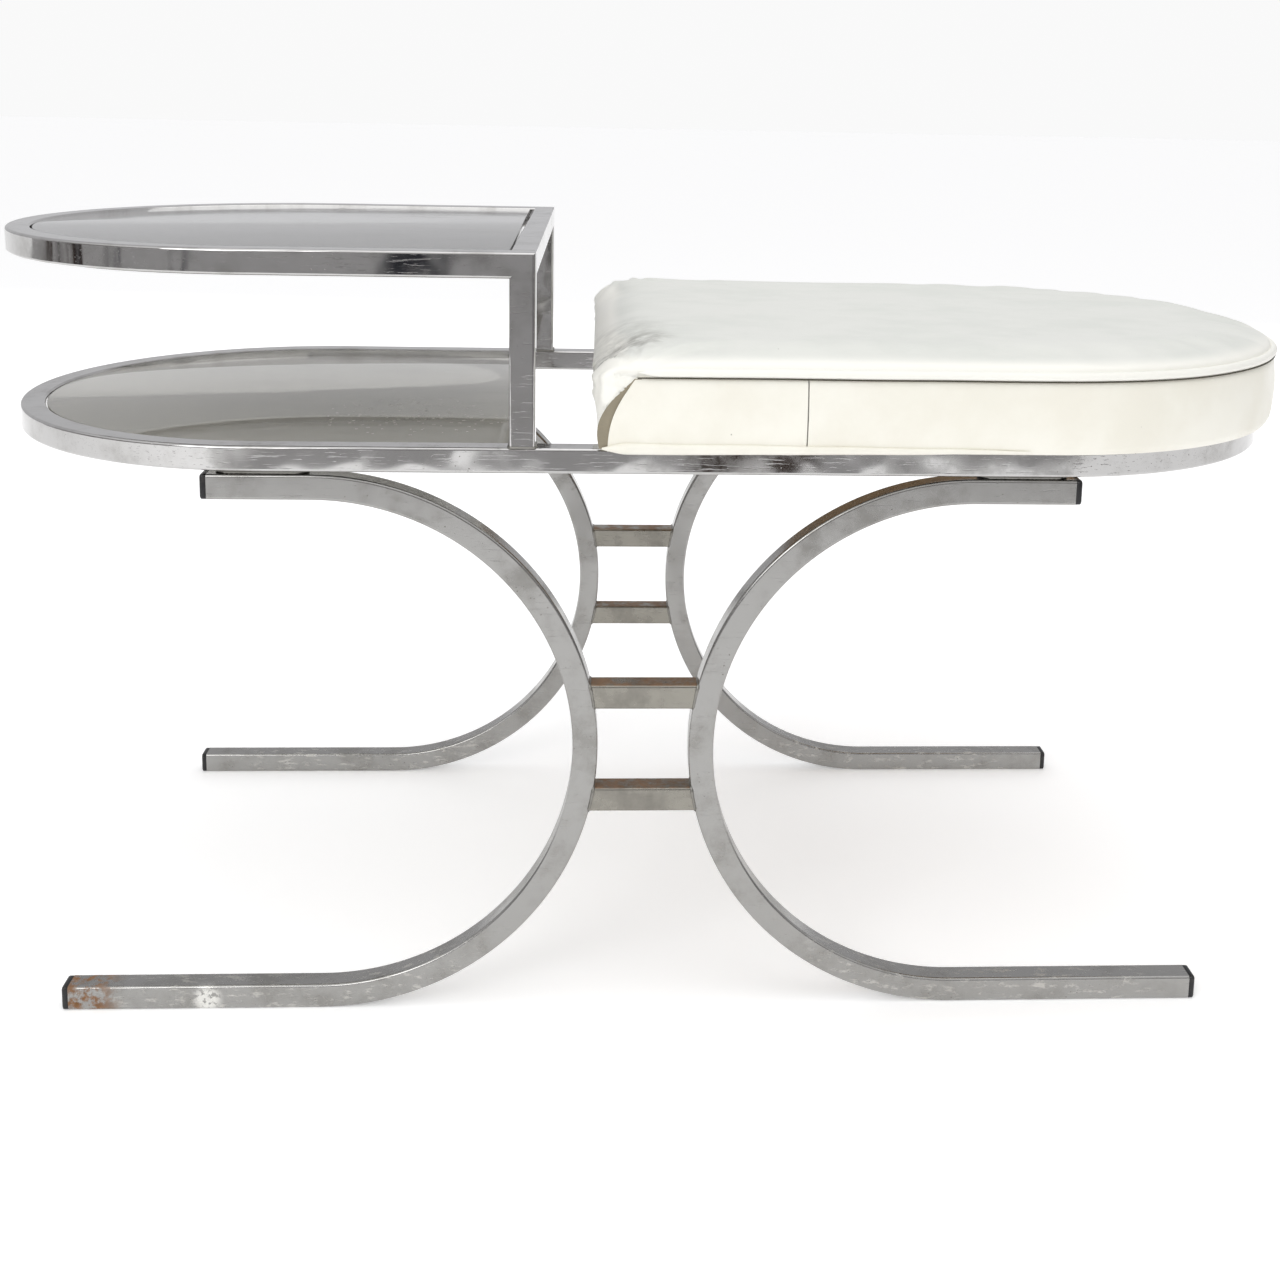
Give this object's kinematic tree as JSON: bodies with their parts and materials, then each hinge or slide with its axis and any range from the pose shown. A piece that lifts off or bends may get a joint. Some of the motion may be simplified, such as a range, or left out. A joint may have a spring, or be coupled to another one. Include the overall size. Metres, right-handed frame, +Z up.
{
  "type": "telephone bench",
  "caption": "Square-tube chrome telephone bench with C-shaped legs, a lower and a raised smoked-glass shelf at one end and a padded vinyl seat at the other.",
  "frame": {"origin": "centre of the outline on the floor", "axes": "+X to the seat end, +Y to the back, +Z up"},
  "size_m": [1.0634, 0.4812, 0.5871],
  "materials": {
    "chrome": "polished plating, pitted and slightly rusted",
    "weld_steel": "plated over rough weld",
    "cap_plastic": "moulded, satin",
    "smoked_glass": "polished float glass, smoked grey",
    "clear_rubber": "translucent, soft",
    "plywood": "bare",
    "white_vinyl": "grained vinyl, satin",
    "zinc_screw": "zinc plated"
  },
  "bodies": {
    "bench_frame": {"cap_foot_front_left": "cap_plastic", "cap_foot_front_right": "cap_plastic", "cap_foot_rear_left": "cap_plastic", "cap_foot_rear_right": "cap_plastic", "cap_top_front_left": "cap_plastic", "cap_top_front_right": "cap_plastic", "cap_top_rear_left": "cap_plastic", "cap_top_rear_right": "cap_plastic", "glass_pad_lower_front_left": "clear_rubber", "glass_pad_lower_front_right": "clear_rubber", "glass_pad_lower_rear_left": "clear_rubber", "glass_pad_lower_rear_right": "clear_rubber", "glass_pad_upper_front_left": "clear_rubber", "glass_pad_upper_front_right": "clear_rubber", "glass_pad_upper_rear_left": "clear_rubber", "glass_pad_upper_rear_right": "clear_rubber", "glass_tab_lower_front_left": "chrome", "glass_tab_lower_front_right": "chrome", "glass_tab_lower_rear_left": "chrome", "glass_tab_lower_rear_right": "chrome", "glass_tab_upper_front_left": "chrome", "glass_tab_upper_front_right": "chrome", "glass_tab_upper_rear_left": "chrome", "glass_tab_upper_rear_right": "chrome", "leg_front_left": "chrome", "leg_front_right": "chrome", "leg_rear_left": "chrome", "leg_rear_right": "chrome", "lower_ring": "chrome", "rung_front_lower": "chrome", "rung_front_upper": "chrome", "rung_rear_lower": "chrome", "rung_rear_upper": "chrome", "seat_board": "plywood", "seat_cushion": "white_vinyl", "seat_screw_front_left": "zinc_screw", "seat_screw_front_right": "zinc_screw", "seat_screw_rear_left": "zinc_screw", "seat_screw_rear_right": "zinc_screw", "seat_tab_front_left": "chrome", "seat_tab_front_right": "chrome", "seat_tab_rear_left": "chrome", "seat_tab_rear_right": "chrome", "shelf_post_front": "chrome", "shelf_post_rear": "chrome", "upper_cross_rail": "chrome", "upper_ring": "chrome", "weld_front_left": "weld_steel", "weld_front_right": "weld_steel", "weld_rear_left": "weld_steel", "weld_rear_right": "weld_steel"},
    "upper_pane": {"upper_glass": "smoked_glass"},
    "lower_pane": {"lower_glass": "smoked_glass"}
  },
  "joints": [
    {"name": "upper_pane_lift", "type": "slide", "parent": "bench_frame", "child": "upper_pane", "axis": [0, 0, 1], "range_m": [0, 0.15]},
    {"name": "lower_pane_lift", "type": "slide", "parent": "bench_frame", "child": "lower_pane", "axis": [0, 0, 1], "range_m": [0, 0.1]}
  ]
}
